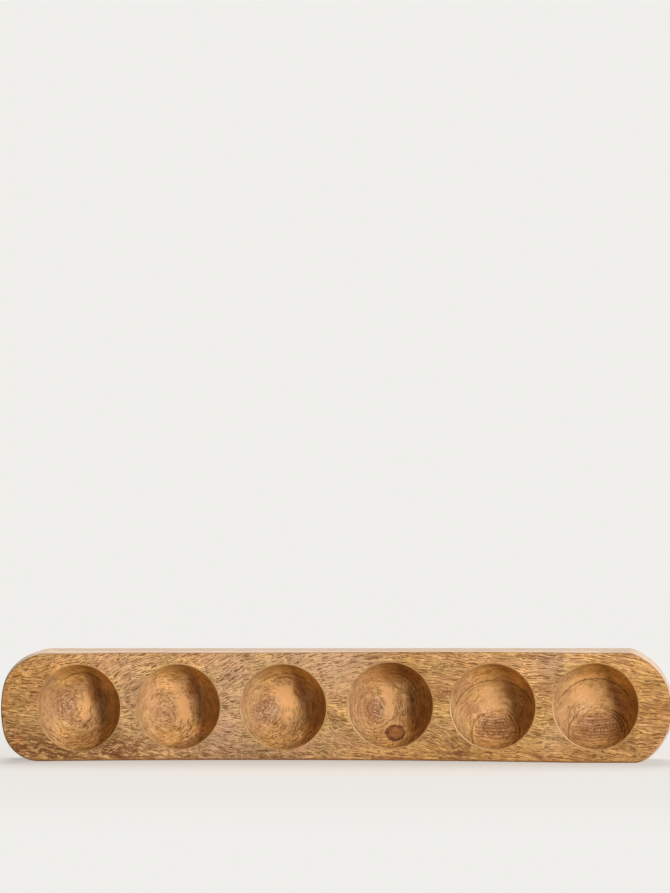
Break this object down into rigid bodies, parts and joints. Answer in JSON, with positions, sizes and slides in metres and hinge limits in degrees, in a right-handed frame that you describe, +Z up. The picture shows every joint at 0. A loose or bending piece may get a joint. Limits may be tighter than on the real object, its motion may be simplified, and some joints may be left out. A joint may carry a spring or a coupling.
{
  "type": "wooden egg tray",
  "caption": "Long narrow tray of solid wood with rounded ends and a row of bowl-shaped hollows that each hold one egg, on small non-slip feet.",
  "frame": {"origin": "under the middle of the part's bounding box, on the surface that the tray stands on with its long edge", "axes": "+X along the tray's length to the right as the hollows are seen, +Y from the face with the hollows to the underside with the feet, +Z up across the tray's width as it stands on its long edge"},
  "size_m": [0.4, 0.036, 0.066],
  "materials": {
    "oiled_wood": "oiled and sanded, satin",
    "foot_rubber": "matt moulded"
  },
  "bodies": {
    "root": {"tray_block": "oiled_wood", "foot_upper_left": "foot_rubber", "foot_upper_right": "foot_rubber", "foot_lower_left": "foot_rubber", "foot_lower_right": "foot_rubber"}
  },
  "joints": []
}
